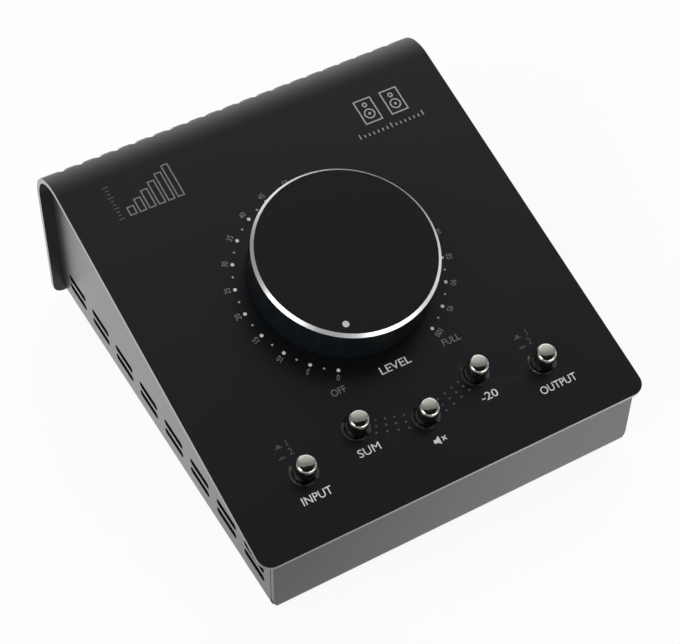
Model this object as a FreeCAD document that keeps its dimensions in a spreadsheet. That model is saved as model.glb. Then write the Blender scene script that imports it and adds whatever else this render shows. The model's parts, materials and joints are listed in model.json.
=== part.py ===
import FreeCAD, Part

import math
import os
import re

import Sketcher

# Studio monitor controller: a folded-steel wedge whose cover carries the volume knob, five push
# buttons and the rear sockets, closed from below by a folded tray.
#
# Three frames are used, all with X to the right:
#   case frame   Y to the rear from the cover's front edge, Z up from the tray's underside
#   panel frame  Y up the slope ("station"), Z out of the control panel ("level"), from its top face
#   rear frame   Z out of the rear panel, Y down, from its outer face

SIZES = {
    # cover: one bent sheet
    "cover_width": 160.0,
    "cover_depth": 177.0,
    "cover_sheet": 2.0,
    "front_height": 30.4,        # top face at the front edge, above the tray's underside
    "slope_angle": 15.0,
    "bend_radius": 16.5,         # outside of the bend between panel and rear panel
    "corner_round": 5.3,
    "flap_round": 4.0,
    "flap_clearance": 0.2,       # the rear panel stops this far above the tray's underside
    # vents over the bend
    "bend_vents": 20,
    "bend_vent_margin": 8.75,    # outermost vent's middle, from the cover's side
    "bend_vent_width": 3.8,
    "bend_vent_drop": 2.4,       # upper end of a vent, below the bend's top
    "bend_vent_height": 16.0,
    # tray: floor, front wall and side walls
    "tray_sheet": 1.2,
    "side_inset": 4.6,
    "front_inset": 2.0,
    "fold_round": 3.0,
    "seam_setback": 1.9,         # from the front wall's face to the open seams of the side walls
    "seam_gap": 0.4,
    "seat_gap": 0.15,            # between the tray's edges and the cover
    "lip_depth": 7.0,
    "flange_height": 10.0,
    # vents in the side walls, in pairs one above the other
    "side_vents": 8,
    "side_vent_first": 16.2,
    "side_vent_last": 16.9,      # last pair's middle, from the rear panel's outer face
    "side_vent_length": 14.6,
    "side_vent_width": 3.2,
    "side_vent_level": 10.4,
    "side_vent_rise": 5.1,
    # feet
    "foot_radius": 6.0,
    "foot_height": 2.5,
    "foot_taper": 0.6,
    "foot_round": 0.8,
    "foot_margin": 13.0,
    # M3 screws
    "screw_radius": 1.5,
    "screw_head_radius": 2.8,
    "screw_head_height": 1.8,
    "screw_slack": 0.2,
    "thread_slack": 0.05,
    # what holds the tray to the cover
    "hook_inset": 35.0,          # insets are from the cover's sides
    "hook_width": 14.0,
    "hook_reach": 4.0,
    "hook_pad": 10.0,
    "hook_slack": 0.25,
    "rear_screw_inset": 20.0,
    "rear_screw_level": 6.4,
    "tray_nut_radius": 3.2,
    "tray_nut_height": 2.0,
    # control board, hung under the panel
    "board_drop": 14.0,          # from the panel's top face down to the board
    "board_sheet": 1.6,
    "board_inset": 17.0,
    "board_front": 14.0,
    "board_rear_gap": 43.0,      # the board ends this far short of the cover's depth
    "board_round": 2.0,
    "standoff_radius": 3.0,
    "standoff_margin": 5.0,
    "screw_grip": 6.0,
    # push buttons and their switches
    "button_pitch": 25.0,
    "button_station": 26.4,
    "button_step": 6.9,          # the second and fourth buttons stand further up the slope
    "button_travel": 2.5,
    "button_hole_radius": 4.2,
    "button_dish_radius": 5.4,
    "dish_angle": 115.0,
    "cap_radius": 3.95,
    "cap_height": 9.1,
    "cap_dome": 1.1,
    "cap_round": 1.1,
    "cap_slack": 0.2,            # cap above the switch when the button is fully in
    "plunger_side": 3.2,
    "plunger_grip": 5.0,
    "plunger_slack": 0.2,
    "grip_slack": 0.05,
    "switch_side": 8.0,
    "switch_height": 8.5,
    "switch_floor": 1.5,
    # potentiometer
    "knob_station": 89.8,
    "pot_radius": 12.0,
    "pot_wall": 1.5,
    "pot_shoulder": 2.5,
    "bushing_radius": 4.5,
    "bushing_level": 7.0,
    "bushing_slack": 0.2,
    "shaft_radius": 3.0,
    "shaft_flat": 1.5,
    "running_slack": 0.05,
    "rotor_radius": 9.5,
    "rotor_sheet": 1.5,
    "rotor_lift": 0.5,
    "washer_radius": 7.0,
    "washer_sheet": 0.6,
    "pot_nut_across": 12.0,
    "pot_nut_height": 2.0,
    # knob
    "knob_radius": 34.9,
    "knob_height": 17.8,
    "knob_gap": 0.6,
    "knob_wall": 3.0,
    "knob_crown": 3.0,
    "knob_cut_width": 1.2,       # bright chamfer round the top
    "knob_cut_height": 1.2,
    "boss_radius": 12.0,
    "hub_radius": 8.0,
    "hub_clearance": 1.0,
    "index_radius": 1.3,
    "index_depth": 1.5,
    "index_dish": 0.5,
    "index_orbit": 30.0,
    "index_angle": 240.0,
    # rear sockets
    "socket_depth": 30.0,        # housings, from the rear panel's inner face to the rear board
    "jack_inset": 14.0,
    "jack_level": 20.0,
    "jack_rise": 18.5,
    "jack_side": 13.0,
    "jack_bore": 3.2,
    "jack_nose": 3.5,
    "jack_nose_radius": 4.7,
    "jack_end": 2.0,
    "jack_nut_across": 12.0,
    "jack_nut_height": 1.8,
    "jack_washer_radius": 6.4,
    "jack_washer_sheet": 0.5,
    "nose_slack": 0.2,
    "xlr_level": 29.5,
    "xlr_width": 24.5,
    "xlr_tall": 31.0,
    "xlr_plate": 2.0,
    "xlr_plate_round": 2.5,
    "xlr_barrel_radius": 11.6,
    "xlr_barrel_slack": 0.3,
    "xlr_rim": 0.8,
    "xlr_screw_across": 19.0,
    "xlr_screw_up": 24.0,
    "cup_radius": 8.05,
    "cup_depth": 16.0,
    "pin_radius": 1.2,
    "pin_orbit": 3.7,
    "pin_length": 13.0,
    "pin_seat": 2.0,
    "insert_radius": 7.8,
    "groove_radius": 9.6,
    "contact_radius": 1.35,
    "contact_depth": 13.0,
    # rear board and the ribbon between the boards
    "rear_board_inset": 8.5,
    "rear_board_low": 12.0,
    "rear_board_high": 48.0,
    "header_width": 30.0,
    "header_side": 8.0,
    "header_height": 6.0,
    "ribbon_margin": 10.0,       # from the control board's rear end to its header
    "ribbon_level": 30.0,
    "ribbon_width": 26.0,
    "ribbon_sheet": 1.0,
    "ribbon_bend": 6.0,
}

SLOPE = "(slope_angle * 1deg)"
SIN = f"sin{SLOPE}"
COS = f"cos{SLOPE}"
TAN = f"tan{SLOPE}"
CORNERS = ((-1, -1), (1, -1), (1, 1), (-1, 1))

# The origin lies on the floor, halfway between the front edge and the tips of the jack noses.
FRONT_EDGE = "(0 - (cover_depth + jack_nose) / 2)"

doc = FreeCAD.newDocument("MonitorController")
sheet = doc.addObject("Spreadsheet::Sheet", "Sizes")
nodes = []


def fill_sheet():
    for row, (name, size) in enumerate(SIZES.items(), start=1):
        sheet.set(f"A{row}", name)
        sheet.set(f"B{row}", str(size))
        sheet.setAlias(f"B{row}", name)
    doc.recompute()


def bound(formula):
    # Writes each size's name in a formula as its cell in the sheet.
    return re.sub(r"[a-z_]+", lambda word: f"Sizes.{word[0]}" if word[0] in SIZES else word[0], formula)


def value(formula):
    return float(sheet.evalExpression(bound(formula)))


def bind(target, path, formula):
    target.setExpression(path, bound(formula))


# ---- placing -------------------------------------------------------------------------------------

def case_seat(x="0", y="0", z="0"):
    return x, f"{FRONT_EDGE} + {y}", f"foot_height + {z}", "0"


def panel_seat(x="0", station="0", level="0", flip="0"):
    return (x,
            f"{FRONT_EDGE} + ({station}) * {COS} - ({level}) * {SIN}",
            f"foot_height + front_height + ({station}) * {SIN} + ({level}) * {COS}",
            f"slope_angle + {flip}")


def rear_seat(x="0", height="0", out="0"):
    return x, f"{FRONT_EDGE} + cover_depth + {out}", f"foot_height + {height}", "0 - 90"


def place(target, seat):
    x, y, z, tilt = seat
    target.Placement = FreeCAD.Placement(FreeCAD.Vector(), FreeCAD.Rotation(FreeCAD.Vector(1, 0, 0), 1))
    bind(target, "Placement.Base.x", x)
    bind(target, "Placement.Base.y", y)
    bind(target, "Placement.Base.z", z)
    bind(target, "Placement.Rotation.Angle", tilt)


def new_body(label, seat):
    body = doc.addObject("PartDesign::Body", label)
    body.Label = label
    place(body, seat)
    return body


def node(target):
    nodes.append(target)
    return target


def copies(label, form, seats):
    # One node that holds the same form at several places.
    links = []
    for number, seat in enumerate(seats, start=1):
        link = doc.addObject("App::Link", f"{label}_{number}")
        link.LinkedObject = form
        place(link, seat)
        links.append(link)
    group = doc.addObject("Part::Compound", label)
    group.Label = label
    group.Links = links
    return node(group)


# ---- sketching -----------------------------------------------------------------------------------

def new_sketch(body, plane, lift="0", tilt=None):
    sketch = body.newObject("Sketcher::SketchObject", f"{body.Name}_sketch")
    origin = next(part for part in body.Origin.OriginFeatures if part.Role == plane)
    sketch.AttachmentSupport = [(origin, "")]
    sketch.MapMode = "FlatFace"
    if tilt:
        axis = FreeCAD.Vector(1, 0, 0)
        sketch.AttachmentOffset = FreeCAD.Placement(FreeCAD.Vector(), FreeCAD.Rotation(axis, 1))
        bind(sketch, "AttachmentOffset.Rotation.Angle", tilt)
    bind(sketch, "AttachmentOffset.Base.z", lift)
    return sketch


def fix(sketch, shape, point, x, y):
    # Ties one point of a shape to the sketch's origin by formulas.
    for kind, across, formula in (("DistanceX", -2, x), ("DistanceY", -1, y)):
        if formula is None:
            continue
        if formula == "0":
            sketch.addConstraint(Sketcher.Constraint("PointOnObject", shape, point, across))
            continue
        size = value(formula)
        number = sketch.addConstraint(Sketcher.Constraint(kind, -1, 1, shape, point, size))
        bind(sketch, f"Constraints[{number}]", formula)


def circle(sketch, x, y, radius):
    middle = FreeCAD.Vector(value(x), value(y), 0)
    ring = Part.Circle(middle, FreeCAD.Vector(0, 0, 1), value(radius))
    shape = sketch.addGeometry(ring, False)
    fix(sketch, shape, 3, x, y)
    number = sketch.addConstraint(Sketcher.Constraint("Radius", shape, value(radius)))
    bind(sketch, f"Constraints[{number}]", radius)


def arc_between(first, last, middle):
    # An arc about a centre, the shorter way round, and whether it runs backwards.
    start = math.atan2(first.y - middle.y, first.x - middle.x)
    end = math.atan2(last.y - middle.y, last.x - middle.x)
    sweep = (end - start) % (2 * math.pi)
    ring = Part.Circle(middle, FreeCAD.Vector(0, 0, 1), (first - middle).Length)
    backwards = sweep > math.pi * 1.001
    if backwards:
        start, end = end, start
    return Part.ArcOfCircle(ring, start, end), backwards


def outline(sketch, points, centres=None):
    # A closed outline through points given by formulas; centres names the centre of each stretch
    # that is an arc, by the number of the point it starts from.
    centres = centres or {}
    places = [FreeCAD.Vector(value(x), value(y), 0) for x, y in points]
    ends = []
    for number, spot in enumerate(places):
        following = places[(number + 1) % len(places)]
        if number in centres:
            middle = FreeCAD.Vector(value(centres[number][0]), value(centres[number][1]), 0)
            stretch, backwards = arc_between(spot, following, middle)
        else:
            stretch, backwards = Part.LineSegment(spot, following), False
        shape = sketch.addGeometry(stretch, False)
        ends.append((shape, 2, 1) if backwards else (shape, 1, 2))
    for number, (shape, start, end) in enumerate(ends):
        next_shape, next_start, _ = ends[(number + 1) % len(ends)]
        sketch.addConstraint(Sketcher.Constraint("Coincident", shape, end, next_shape, next_start))
        fix(sketch, shape, start, *points[number])
    for number, (x, y) in centres.items():
        chord = places[(number + 1) % len(places)] - places[number]
        if abs(chord.y) > abs(chord.x):
            fix(sketch, ends[number][0], 3, x, None)
        else:
            fix(sketch, ends[number][0], 3, None, y)


def rectangle(sketch, left, low, right, high):
    outline(sketch, [(left, low), (right, low), (right, high), (left, high)])


def upright_slot(sketch, x, low, high, width):
    half = f"({width}) / 2"
    left = f"{x} - {half}"
    right = f"{x} + {half}"
    bottom = f"{low} + {half}"
    top = f"{high} - {half}"
    outline(sketch, [(left, bottom), (right, bottom), (right, top), (left, top)],
            {0: (x, bottom), 2: (x, top)})


def level_slot(sketch, left, right, y, width):
    half = f"({width}) / 2"
    near = f"{left} + {half}"
    far = f"{right} - {half}"
    low = f"{y} - {half}"
    high = f"{y} + {half}"
    outline(sketch, [(near, low), (far, low), (far, high), (near, high)],
            {1: (far, y), 3: (near, y)})


def hexagon(sketch, across):
    side = f"({across}) / 2"
    tip = f"({across}) / sqrt(3)"
    points = [(tip, "0"), (f"{tip} / 2", side), (f"0 - {tip} / 2", side),
              (f"0 - {tip}", "0"), (f"0 - {tip} / 2", f"0 - {side}"), (f"{tip} / 2", f"0 - {side}")]
    outline(sketch, points)


# ---- features ------------------------------------------------------------------------------------

def pad(body, sketch, length, both_ways=False, reverse=False):
    feature = body.newObject("PartDesign::Pad", f"{body.Name}_pad")
    feature.Profile = sketch
    feature.SideType = "Symmetric" if both_ways else "One side"
    feature.Reversed = reverse
    bind(feature, "Length", length)
    return feature


def pocket(body, sketch, length=None, both_ways=False, reverse=False):
    feature = body.newObject("PartDesign::Pocket", f"{body.Name}_pocket")
    feature.Profile = sketch
    feature.SideType = "Symmetric" if both_ways else "One side"
    feature.Reversed = reverse
    if length is None:
        feature.Type = "ThroughAll"
    else:
        bind(feature, "Length", length)
    return feature


def spin(body, sketch):
    feature = body.newObject("PartDesign::Revolution", f"{body.Name}_turn")
    feature.Profile = sketch
    feature.ReferenceAxis = (sketch, ["V_Axis"])
    return feature


def repeat(body, feature, sketch, axis, pitch, count):
    pattern = body.newObject("PartDesign::LinearPattern", f"{body.Name}_row")
    pattern.Originals = [feature]
    pattern.Direction = (sketch, [axis])
    pattern.Mode = "Spacing"
    bind(pattern, "Offset", pitch)
    bind(pattern, "Occurrences", count)
    body.Tip = pattern
    return pattern


def edges_at(feature, spots):
    # Names the edges whose middles lie nearest to the given spots of the body's own frame.
    doc.recompute()
    names = []
    for spot in spots:
        target = FreeCAD.Vector(*(value(formula) for formula in spot))
        gaps = [(edge.CenterOfMass - target).Length for edge in feature.Shape.Edges]
        names.append(f"Edge{gaps.index(min(gaps)) + 1}")
    return names


def round_off(body, feature, spots, radius):
    fillet = body.newObject("PartDesign::Fillet", f"{body.Name}_round")
    fillet.Base = (feature, edges_at(feature, spots))
    bind(fillet, "Radius", radius)
    return fillet


def turned(label, seat, points, centres=None):
    # A turned piece about its own Z axis, from its half outline of radius and level.
    body = new_body(label, seat)
    sketch = new_sketch(body, "XZ_Plane")
    outline(sketch, points, centres)
    spin(body, sketch)
    return body


def block(label, seat, left, low, right, high, bottom, top):
    # A rectangular piece; its last two sizes are levels along its own Z axis.
    body = new_body(label, seat)
    sketch = new_sketch(body, "XY_Plane", bottom)
    rectangle(sketch, left, low, right, high)
    pad(body, sketch, f"({top}) - ({bottom})")
    return body


# ---- the cover -----------------------------------------------------------------------------------

BEND_Y = "(cover_depth - bend_radius)"
BEND_Z = f"(front_height + ({SIN} * {BEND_Y} - bend_radius) / {COS})"


def bend_start(radius):
    # Where the slope runs into the bend, on a face of the given radius about the bend's axis.
    return f"{BEND_Y} - ({radius}) * {SIN}", f"{BEND_Z} + ({radius}) * {COS}"


def slope_height(y, level):
    # Height of a face parallel to the panel, at a given depth and level.
    return f"front_height + ({y}) * {TAN} + ({level}) / {COS}"


def knob_spot(orbit, angle):
    return f"({orbit}) * cos({angle} * 1deg)", f"({orbit}) * sin({angle} * 1deg)"


BUTTONS = {
    "source": ("0 - 2 * button_pitch", "button_station"),
    "mono": ("0 - button_pitch", "button_station + button_step"),
    "mute": ("0", "button_station"),
    "dim": ("button_pitch", "button_station + button_step"),
    "monitor": ("2 * button_pitch", "button_station"),
}
JACKS = {
    "input_jack_left": ("cover_width / 2 - jack_inset", "jack_level + jack_rise"),
    "input_jack_right": ("cover_width / 2 - jack_inset", "jack_level"),
    "output_jack_left": ("jack_inset - cover_width / 2", "jack_level + jack_rise"),
    "output_jack_right": ("jack_inset - cover_width / 2", "jack_level"),
}
# The four three-pole sockets stand at even gaps between the two columns of jacks.
XLR_PITCH = "((cover_width - 2 * jack_inset - jack_side + xlr_width) / 5)"
XLR_OUTPUTS = {
    "output_xlr_left": f"0 - 1.5 * {XLR_PITCH}",
    "output_xlr_right": f"0 - 0.5 * {XLR_PITCH}",
}
XLR_INPUTS = {
    "input_xlr_left": f"0.5 * {XLR_PITCH}",
    "input_xlr_right": f"1.5 * {XLR_PITCH}",
}
REAR_SCREWS = ("rear_screw_inset - cover_width / 2", "0", "cover_width / 2 - rear_screw_inset")


def xlr_screw_spots():
    # Two screws to each three-pole socket, at opposite corners of its plate.
    spots = []
    for x in (*XLR_OUTPUTS.values(), *XLR_INPUTS.values()):
        for side in (-1, 1):
            spots.append((f"{x} + {side} * xlr_screw_across / 2",
                          f"xlr_level - {side} * xlr_screw_up / 2"))
    return spots


def make_cover():
    body = node(new_body("top_cover", case_seat()))
    inner_radius = "bend_radius - cover_sheet"
    inner_face = "cover_depth - cover_sheet"
    profile = new_sketch(body, "YZ_Plane")
    points = [
        ("0", "front_height"),
        bend_start("bend_radius"),
        ("cover_depth", BEND_Z),
        ("cover_depth", "flap_clearance"),
        (inner_face, "flap_clearance"),
        (inner_face, BEND_Z),
        bend_start(inner_radius),
        (f"cover_sheet * {SIN}", f"front_height - cover_sheet * {COS}"),
    ]
    outline(profile, points, {1: (BEND_Y, BEND_Z), 5: (BEND_Y, BEND_Z)})
    sheet_metal = pad(body, profile, "cover_width", both_ways=True)
    front_spots = [(f"{side} * cover_width / 2", f"cover_sheet * {SIN} / 2",
                    f"front_height - cover_sheet * {COS} / 2") for side in (-1, 1)]
    rounded = round_off(body, sheet_metal, front_spots, "corner_round")
    flap_spots = [(f"{side} * cover_width / 2", "cover_depth - cover_sheet / 2", "flap_clearance")
                  for side in (-1, 1)]
    round_off(body, rounded, flap_spots, "flap_round")
    cut_button_holes(body)
    bushing = new_sketch(body, "XY_Plane", "front_height", tilt="slope_angle")
    circle(bushing, "0", "knob_station", "bushing_radius + bushing_slack")
    pocket(body, bushing, "2 * cover_sheet", both_ways=True)
    cut_rear_holes(body)
    cut_bend_vents(body)


def cut_button_holes(body):
    sketch = new_sketch(body, "XY_Plane", "front_height", tilt="slope_angle")
    for x, station in BUTTONS.values():
        circle(sketch, x, station, "button_hole_radius")
    doc.recompute()
    hole = body.newObject("PartDesign::Hole", "button_holes")
    hole.Profile = sketch
    hole.DepthType = "Dimension"
    hole.HoleCutType = "Countersink"
    hole.HoleCutCustomValues = True
    bind(hole, "Depth", "2 * cover_sheet")
    bind(hole, "Diameter", "2 * button_hole_radius")
    bind(hole, "HoleCutDiameter", "2 * button_dish_radius")
    bind(hole, "HoleCutCountersinkAngle", "dish_angle")
    hole.DrillPoint = "Flat"


def cut_rear_holes(body):
    sketch = new_sketch(body, "XZ_Plane", "0 - cover_depth")
    for x, height in JACKS.values():
        circle(sketch, x, height, "jack_nose_radius + nose_slack")
    for x in (*XLR_OUTPUTS.values(), *XLR_INPUTS.values()):
        circle(sketch, x, "xlr_level", "xlr_barrel_radius + xlr_barrel_slack")
    for x, height in xlr_screw_spots():
        circle(sketch, x, height, "screw_radius + screw_slack")
    for x in REAR_SCREWS:
        circle(sketch, x, "rear_screw_level", "screw_radius + screw_slack")
    pocket(body, sketch, "4 * cover_sheet", both_ways=True)


def cut_bend_vents(body):
    sketch = new_sketch(body, "XZ_Plane", f"0 - {BEND_Y}")
    first = "bend_vent_margin - cover_width / 2"
    pitch = "(cover_width - 2 * bend_vent_margin) / (bend_vents - 1)"
    high = f"{BEND_Z} + bend_radius - bend_vent_drop"
    upright_slot(sketch, first, f"{high} - bend_vent_height", high, "bend_vent_width")
    vent = pocket(body, sketch, "2 * bend_radius")
    repeat(body, vent, sketch, "H_Axis", pitch, "bend_vents")


# ---- the tray ------------------------------------------------------------------------------------

TRAY_REAR = "(cover_depth - cover_sheet - seat_gap)"
TRAY_WIDTH = "(cover_width - 2 * side_inset)"
TRAY_LEVEL = "(0 - cover_sheet - seat_gap)"
LIP_END = f"(front_inset / {COS} + lip_depth)"


def make_tray():
    body = node(new_body("base_tray", case_seat()))
    profile = new_sketch(body, "YZ_Plane")
    rear_radius = "bend_radius - cover_sheet - seat_gap"
    points = [
        ("front_inset", "0"),
        (TRAY_REAR, "0"),
        (TRAY_REAR, BEND_Z),
        bend_start(rear_radius),
        ("front_inset", slope_height("front_inset", TRAY_LEVEL)),
    ]
    outline(profile, points, {2: (BEND_Y, BEND_Z)})
    wedge = pad(body, profile, TRAY_WIDTH, both_ways=True)
    middle = "(front_inset + cover_depth - cover_sheet - seat_gap) / 2"
    fold_spots = [(f"{side} * {TRAY_WIDTH} / 2", middle, "0") for side in (-1, 1)]
    fold_spots.append(("0", "front_inset", "0"))
    round_off(body, wedge, fold_spots, "fold_round")
    hollow = new_sketch(body, "YZ_Plane")
    wall = "front_inset + tray_sheet"
    far = "cover_depth + bend_radius"
    outline(hollow, [(wall, "tray_sheet"), (far, "tray_sheet"), (far, slope_height(far, "0")),
                     (wall, slope_height(wall, "0"))])
    pocket(body, hollow, f"{TRAY_WIDTH} - 2 * tray_sheet", both_ways=True)
    seam = new_sketch(body, "YZ_Plane")
    seam_start = "front_inset + seam_setback"
    seam_end = f"{seam_start} + seam_gap"
    rectangle(seam, seam_start, "fold_round", seam_end, slope_height(seam_end, "0"))
    pocket(body, seam, "cover_width", both_ways=True)
    add_tray_lip(body)
    add_tray_flange(body)
    cut_side_vents(body)


def add_tray_lip(body):
    # The front wall's top edge is folded in under the cover; it stops short of the side walls.
    lip = new_sketch(body, "YZ_Plane")
    root = "front_inset + tray_sheet / 2"
    below = f"({TRAY_LEVEL} - tray_sheet)"
    points = [(root, slope_height(root, below))]
    for level in (below, TRAY_LEVEL):
        points.append((f"{LIP_END} * {COS} - {level} * {SIN}",
                       f"front_height + {LIP_END} * {SIN} + {level} * {COS}"))
    points.append((root, slope_height(root, TRAY_LEVEL)))
    outline(lip, points)
    pad(body, lip, f"{TRAY_WIDTH} - 2 * (tray_sheet + fold_round)", both_ways=True)


def add_tray_flange(body):
    # The floor's rear edge turns up behind the rear panel, where the screws go in.
    flange = new_sketch(body, "YZ_Plane")
    rectangle(flange, f"{TRAY_REAR} - tray_sheet", "tray_sheet / 2", TRAY_REAR, "flange_height")
    pad(body, flange, f"{TRAY_WIDTH} - 2 * (tray_sheet + fold_round)", both_ways=True)
    holes = new_sketch(body, "XZ_Plane", f"0 - {TRAY_REAR}")
    for x in REAR_SCREWS:
        circle(holes, x, "rear_screw_level", "screw_radius + screw_slack")
    pocket(body, holes, "4 * tray_sheet", both_ways=True)


def cut_side_vents(body):
    sketch = new_sketch(body, "YZ_Plane")
    near = "side_vent_first - side_vent_length / 2"
    far = "side_vent_first + side_vent_length / 2"
    for height in ("side_vent_level", "side_vent_level + side_vent_rise"):
        level_slot(sketch, near, far, height, "side_vent_width")
    pair = pocket(body, sketch, "cover_width", both_ways=True)
    pitch = "(cover_depth - side_vent_first - side_vent_last) / (side_vents - 1)"
    repeat(body, pair, sketch, "H_Axis", pitch, "side_vents")


def make_feet():
    reach = "foot_radius - foot_taper"
    points = [("0", "0 - foot_height"), (reach, "0 - foot_height"), ("foot_radius", "0"), ("0", "0")]
    sides = {"left": f"foot_margin - {TRAY_WIDTH} / 2", "right": f"{TRAY_WIDTH} / 2 - foot_margin"}
    ends = {"front": "front_inset + foot_margin", "rear": f"{TRAY_REAR} - foot_margin"}
    for across, x in sides.items():
        for along, y in ends.items():
            foot = node(turned(f"foot_{along}_{across}", case_seat(x, y), points))
            round_off(foot, foot.Tip, [("0", "0", "0 - foot_height")], "foot_round")


def make_front_hooks():
    # Z-shaped tabs welded under the cover; their toes reach under the tray's lip.
    form = new_body("hook_form", panel_seat())
    sketch = new_sketch(form, "YZ_Plane")
    under = "0 - cover_sheet"
    toe = f"{TRAY_LEVEL} - tray_sheet - hook_slack"
    riser = f"{LIP_END} + 2 * hook_slack"
    points = [
        (f"{LIP_END} - hook_reach", toe),
        (riser, toe),
        (riser, under),
        (f"{riser} + hook_pad", under),
        (f"{riser} + hook_pad", f"{under} - tray_sheet"),
        (f"{riser} + tray_sheet", f"{under} - tray_sheet"),
        (f"{riser} + tray_sheet", f"{toe} - tray_sheet"),
        (f"{LIP_END} - hook_reach", f"{toe} - tray_sheet"),
    ]
    outline(sketch, points)
    pad(form, sketch, "hook_width", both_ways=True)
    seats = [panel_seat(f"{side} * (cover_width / 2 - hook_inset)") for side in (-1, 1)]
    copies("front_hooks", form, seats)


def screw_form(label, length):
    # A pan-head screw that hangs down from the underside of its head.
    points = [
        ("0", f"0 - ({length})"),
        ("screw_radius", f"0 - ({length})"),
        ("screw_radius", "0"),
        ("screw_head_radius", "0"),
        ("screw_head_radius", "screw_head_height / 2"),
        ("screw_head_radius * 0.6", "screw_head_height"),
        ("0", "screw_head_height"),
    ]
    return turned(label, case_seat(), points)


def make_tray_fasteners():
    grip = "cover_sheet + seat_gap + tray_sheet + tray_nut_height"
    screw = screw_form("rear_screw_form", grip)
    copies("rear_screws", screw, [rear_seat(x, "rear_screw_level") for x in REAR_SCREWS])
    bore = "screw_radius + thread_slack"
    points = [(bore, "0"), ("tray_nut_radius", "0"),
              ("tray_nut_radius", "tray_nut_height"), (bore, "tray_nut_height")]
    nut = turned("tray_nut_form", case_seat(), points)
    face = f"0 - ({grip})"
    copies("tray_nuts", nut, [rear_seat(x, "rear_screw_level", face) for x in REAR_SCREWS])


# ---- the control board ---------------------------------------------------------------------------

BOARD_TOP = "(0 - board_drop)"
BOARD_HALF = "(cover_width / 2 - board_inset)"
BOARD_REAR = "(cover_depth - board_rear_gap)"


def standoff_spots():
    ends = {-1: "board_front + standoff_margin", 1: f"{BOARD_REAR} - standoff_margin"}
    return [(f"{across} * ({BOARD_HALF} - standoff_margin)", ends[along]) for across, along in CORNERS]


def make_control_board():
    body = node(new_body("panel_board", panel_seat()))
    sketch = new_sketch(body, "XY_Plane", BOARD_TOP)
    rectangle(sketch, f"0 - {BOARD_HALF}", "board_front", BOARD_HALF, BOARD_REAR)
    plate = pad(body, sketch, "board_sheet", reverse=True)
    spots = [(f"{across} * {BOARD_HALF}", end, f"{BOARD_TOP} - board_sheet / 2")
             for across in (-1, 1) for end in ("board_front", BOARD_REAR)]
    round_off(body, plate, spots, "board_round")
    holes = new_sketch(body, "XY_Plane", BOARD_TOP)
    for x, station in standoff_spots():
        circle(holes, x, station, "screw_radius + screw_slack")
    pocket(body, holes, "2 * board_sheet")


def make_standoffs():
    bore = "screw_radius + thread_slack"
    depth = f"{BOARD_TOP} + screw_grip + 1"
    points = [
        (bore, BOARD_TOP),
        ("standoff_radius", BOARD_TOP),
        ("standoff_radius", "0 - cover_sheet"),
        ("0", "0 - cover_sheet"),
        ("0", depth),
        (bore, depth),
    ]
    form = turned("standoff_form", case_seat(), points)
    copies("panel_standoffs", form, [panel_seat(x, station) for x, station in standoff_spots()])
    screw = screw_form("panel_screw_form", "board_sheet + screw_grip")
    level = f"{BOARD_TOP} - board_sheet"
    seats = [panel_seat(x, station, level, "180") for x, station in standoff_spots()]
    copies("panel_screws", screw, seats)


def make_buttons():
    tail = f"({BOARD_TOP} + switch_height + button_travel + cap_slack)"
    grip_top = f"({tail} + plunger_grip)"
    rim = "(cap_height - cap_dome)"
    dome = "((cap_radius * cap_radius + cap_dome * cap_dome) / (2 * cap_dome))"
    half = "plunger_side / 2"
    for name, (x, station) in BUTTONS.items():
        seat = panel_seat(x, station)
        points = [("0", tail), ("cap_radius", tail), ("cap_radius", rim), ("0", "cap_height")]
        cap = node(turned(f"{name}_button", seat, points, {2: ("0", f"cap_height - {dome}")}))
        round_off(cap, cap.Tip, [("0", "0", rim)], "cap_round")
        socket = new_sketch(cap, "XY_Plane", tail)
        wall = f"{half} + grip_slack"
        rectangle(socket, f"0 - ({wall})", f"0 - ({wall})", wall, wall)
        pocket(cap, socket, "plunger_grip", reverse=True)
        bottom = f"{BOARD_TOP} + switch_floor + button_travel + plunger_slack"
        node(block(f"{name}_plunger", seat, f"0 - {half}", f"0 - {half}", half, half, bottom, grip_top))
        make_switch(name, seat)


def make_switch(name, seat):
    side = "switch_side / 2"
    top = f"{BOARD_TOP} + switch_height"
    body = node(block(f"{name}_switch", seat, f"0 - {side}", f"0 - {side}", side, side, BOARD_TOP, top))
    well = new_sketch(body, "XY_Plane", top)
    wall = "plunger_side / 2 + plunger_slack"
    rectangle(well, f"0 - ({wall})", f"0 - ({wall})", wall, wall)
    pocket(body, well, "switch_height - switch_floor")


# ---- the volume control --------------------------------------------------------------------------

KNOB_SEAT = panel_seat("0", "knob_station")
HUB_LEVEL = "(bushing_level + hub_clearance)"
CROWN_LEVEL = "(knob_height - knob_crown)"


def make_potentiometer():
    bore = "shaft_radius + running_slack"
    floor = f"{BOARD_TOP} + pot_wall"
    ceiling = "0 - cover_sheet - pot_shoulder"
    points = [
        ("0", BOARD_TOP),
        ("pot_radius", BOARD_TOP),
        ("pot_radius", "0 - cover_sheet"),
        ("bushing_radius", "0 - cover_sheet"),
        ("bushing_radius", "bushing_level"),
        (bore, "bushing_level"),
        (bore, ceiling),
        ("pot_radius - pot_wall", ceiling),
        ("pot_radius - pot_wall", floor),
        ("0", floor),
    ]
    node(turned("pot_housing", KNOB_SEAT, points))
    inner = "bushing_radius + thread_slack"
    rings = [(inner, "0"), ("washer_radius", "0"),
             ("washer_radius", "washer_sheet"), (inner, "washer_sheet")]
    node(turned("pot_washer", KNOB_SEAT, rings))
    node(hex_nut("pot_nut", KNOB_SEAT, "washer_sheet", "pot_nut_across", "pot_nut_height", inner))


def hex_nut(label, seat, level, across, height, bore):
    body = new_body(label, seat)
    sketch = new_sketch(body, "XY_Plane", level)
    hexagon(sketch, across)
    circle(sketch, "0", "0", bore)
    pad(body, sketch, height)
    return body


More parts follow.
